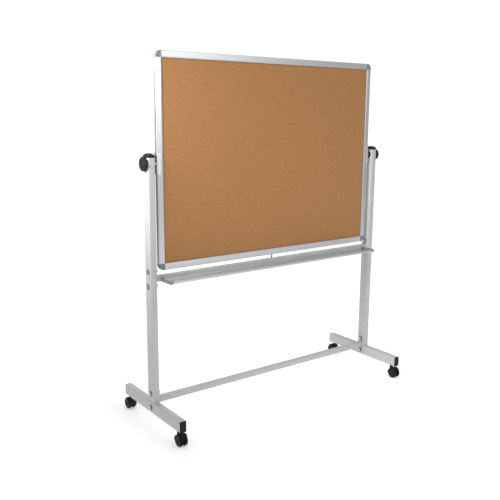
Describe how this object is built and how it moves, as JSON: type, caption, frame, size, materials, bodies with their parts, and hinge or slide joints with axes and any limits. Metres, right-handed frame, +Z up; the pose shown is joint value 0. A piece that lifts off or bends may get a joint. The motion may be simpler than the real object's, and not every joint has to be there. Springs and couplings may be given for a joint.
{
  "type": "rolling whiteboard",
  "caption": "Reversible whiteboard and cork board on a rolling stand, with centre pivot, clamping knobs, pull-pin lock, pen tray and braked casters.",
  "frame": {"origin": "on the floor, under the middle of the stand", "axes": "+Z up, X along the board's width, -Y to the front, the cork side"},
  "size_m": [1.3462, 0.508, 1.5875],
  "materials": {
    "anodised_aluminium": "satin anodised",
    "grey_plastic": "moulded, satin",
    "cork": "natural, matt",
    "core_board": "raw fibreboard",
    "white_enamel": "gloss white dry-wipe",
    "powder_coat": "satin off-white powder coat",
    "black_plastic": "moulded, satin black",
    "wheel_plastic": "moulded, satin black",
    "zinc": "bright zinc plate"
  },
  "bodies": {
    "stand": {"foot_cap_front_left": "black_plastic", "foot_cap_front_right": "black_plastic", "foot_cap_rear_left": "black_plastic", "foot_cap_rear_right": "black_plastic", "foot_left": "powder_coat", "foot_right": "powder_coat", "lock_spring": "zinc", "lower_bar_bolt_left_high": "zinc", "lower_bar_bolt_left_low": "zinc", "lower_bar_bolt_right_high": "zinc", "lower_bar_bolt_right_low": "zinc", "lower_crossbar": "powder_coat", "pen_tray": "anodised_aluminium", "pivot_washer_left": "black_plastic", "pivot_washer_right": "black_plastic", "tray_end_cap_left": "grey_plastic", "tray_end_cap_right": "grey_plastic", "upper_bar_bolt_left_high": "zinc", "upper_bar_bolt_left_low": "zinc", "upper_bar_bolt_right_high": "zinc", "upper_bar_bolt_right_low": "zinc", "upper_crossbar": "powder_coat", "upright_cap_left": "black_plastic", "upright_cap_right": "black_plastic", "upright_left": "powder_coat", "upright_right": "powder_coat"},
    "board": {"board_core": "core_board", "cork_sheet": "cork", "corner_cap_bottom_left": "grey_plastic", "corner_cap_bottom_right": "grey_plastic", "corner_cap_top_left": "grey_plastic", "corner_cap_top_right": "grey_plastic", "frame_rail_bottom": "anodised_aluminium", "frame_rail_left": "anodised_aluminium", "frame_rail_right": "anodised_aluminium", "frame_rail_top": "anodised_aluminium", "lock_strike": "zinc", "pivot_bolt_left": "zinc", "pivot_bolt_right": "zinc", "pivot_bracket_left": "zinc", "pivot_bracket_right": "zinc", "whiteboard_sheet": "white_enamel"},
    "knob_left": {"knob_left": "black_plastic"},
    "knob_right": {"knob_right": "black_plastic"},
    "lock_pin": {"lock_pin": "zinc"},
    "pull_ring": {"pull_ring": "zinc"},
    "caster_front_left": {"caster_hood_front_left": "black_plastic"},
    "wheel_front_left_left": {"caster_wheel_front_left_left": "wheel_plastic"},
    "wheel_front_left_right": {"caster_wheel_front_left_right": "wheel_plastic"},
    "brake_lever_front_left": {"brake_lever_front_left": "black_plastic"},
    "caster_front_right": {"caster_hood_front_right": "black_plastic"},
    "wheel_front_right_left": {"caster_wheel_front_right_left": "wheel_plastic"},
    "wheel_front_right_right": {"caster_wheel_front_right_right": "wheel_plastic"},
    "brake_lever_front_right": {"brake_lever_front_right": "black_plastic"},
    "caster_rear_left": {"caster_hood_rear_left": "black_plastic"},
    "wheel_rear_left_left": {"caster_wheel_rear_left_left": "wheel_plastic"},
    "wheel_rear_left_right": {"caster_wheel_rear_left_right": "wheel_plastic"},
    "caster_rear_right": {"caster_hood_rear_right": "black_plastic"},
    "wheel_rear_right_left": {"caster_wheel_rear_right_left": "wheel_plastic"},
    "wheel_rear_right_right": {"caster_wheel_rear_right_right": "wheel_plastic"}
  },
  "joints": [
    {"name": "board_flip", "type": "hinge", "parent": "stand", "child": "board", "pos_m": [0, 0, 1.1395], "axis": [1, 0, 0], "continuous": true},
    {"name": "knob_left_turn", "type": "hinge", "parent": "stand", "child": "knob_left", "pos_m": [-0.6647, 0, 1.1395], "axis": [-1, 0, 0], "range_deg": [0, 720]},
    {"name": "knob_right_turn", "type": "hinge", "parent": "stand", "child": "knob_right", "pos_m": [0.6647, 0, 1.1395], "axis": [1, 0, 0], "range_deg": [0, 720]},
    {"name": "lock_pin_pull", "type": "slide", "parent": "stand", "child": "lock_pin", "axis": [0, 0, -1], "range_m": [0, 0.008], "stiffness_N_per_m": 300, "springref_m": -0.006, "deforming": ["lock_spring"]},
    {"name": "ring_swing", "type": "hinge", "parent": "lock_pin", "child": "pull_ring", "pos_m": [0, 0, 0.6282], "axis": [1, 0, 0], "range_deg": [-60, 60]},
    {"name": "caster_front_left_swivel", "type": "hinge", "parent": "stand", "child": "caster_front_left", "pos_m": [-0.6411, -0.211, 0.0637], "axis": [0, 0, 1], "continuous": true},
    {"name": "wheel_front_left_left_roll", "type": "hinge", "parent": "caster_front_left", "child": "wheel_front_left_left", "pos_m": [-0.6529, -0.229, 0.025], "axis": [1, 0, 0], "continuous": true},
    {"name": "wheel_front_left_right_roll", "type": "hinge", "parent": "caster_front_left", "child": "wheel_front_left_right", "pos_m": [-0.6293, -0.229, 0.025], "axis": [1, 0, 0], "continuous": true},
    {"name": "brake_front_left", "type": "hinge", "parent": "caster_front_left", "child": "brake_lever_front_left", "pos_m": [-0.6411, -0.229, 0.025], "axis": [1, 0, 0], "range_deg": [0, 15]},
    {"name": "caster_front_right_swivel", "type": "hinge", "parent": "stand", "child": "caster_front_right", "pos_m": [0.6411, -0.211, 0.0637], "axis": [0, 0, 1], "continuous": true},
    {"name": "wheel_front_right_left_roll", "type": "hinge", "parent": "caster_front_right", "child": "wheel_front_right_left", "pos_m": [0.6293, -0.229, 0.025], "axis": [1, 0, 0], "continuous": true},
    {"name": "wheel_front_right_right_roll", "type": "hinge", "parent": "caster_front_right", "child": "wheel_front_right_right", "pos_m": [0.6529, -0.229, 0.025], "axis": [1, 0, 0], "continuous": true},
    {"name": "brake_front_right", "type": "hinge", "parent": "caster_front_right", "child": "brake_lever_front_right", "pos_m": [0.6411, -0.229, 0.025], "axis": [1, 0, 0], "range_deg": [0, 15]},
    {"name": "caster_rear_left_swivel", "type": "hinge", "parent": "stand", "child": "caster_rear_left", "pos_m": [-0.6411, 0.211, 0.0637], "axis": [0, 0, 1], "continuous": true},
    {"name": "wheel_rear_left_left_roll", "type": "hinge", "parent": "caster_rear_left", "child": "wheel_rear_left_left", "pos_m": [-0.6529, 0.229, 0.025], "axis": [1, 0, 0], "continuous": true},
    {"name": "wheel_rear_left_right_roll", "type": "hinge", "parent": "caster_rear_left", "child": "wheel_rear_left_right", "pos_m": [-0.6293, 0.229, 0.025], "axis": [1, 0, 0], "continuous": true},
    {"name": "caster_rear_right_swivel", "type": "hinge", "parent": "stand", "child": "caster_rear_right", "pos_m": [0.6411, 0.211, 0.0637], "axis": [0, 0, 1], "continuous": true},
    {"name": "wheel_rear_right_left_roll", "type": "hinge", "parent": "caster_rear_right", "child": "wheel_rear_right_left", "pos_m": [0.6293, 0.229, 0.025], "axis": [1, 0, 0], "continuous": true},
    {"name": "wheel_rear_right_right_roll", "type": "hinge", "parent": "caster_rear_right", "child": "wheel_rear_right_right", "pos_m": [0.6529, 0.229, 0.025], "axis": [1, 0, 0], "continuous": true}
  ]
}
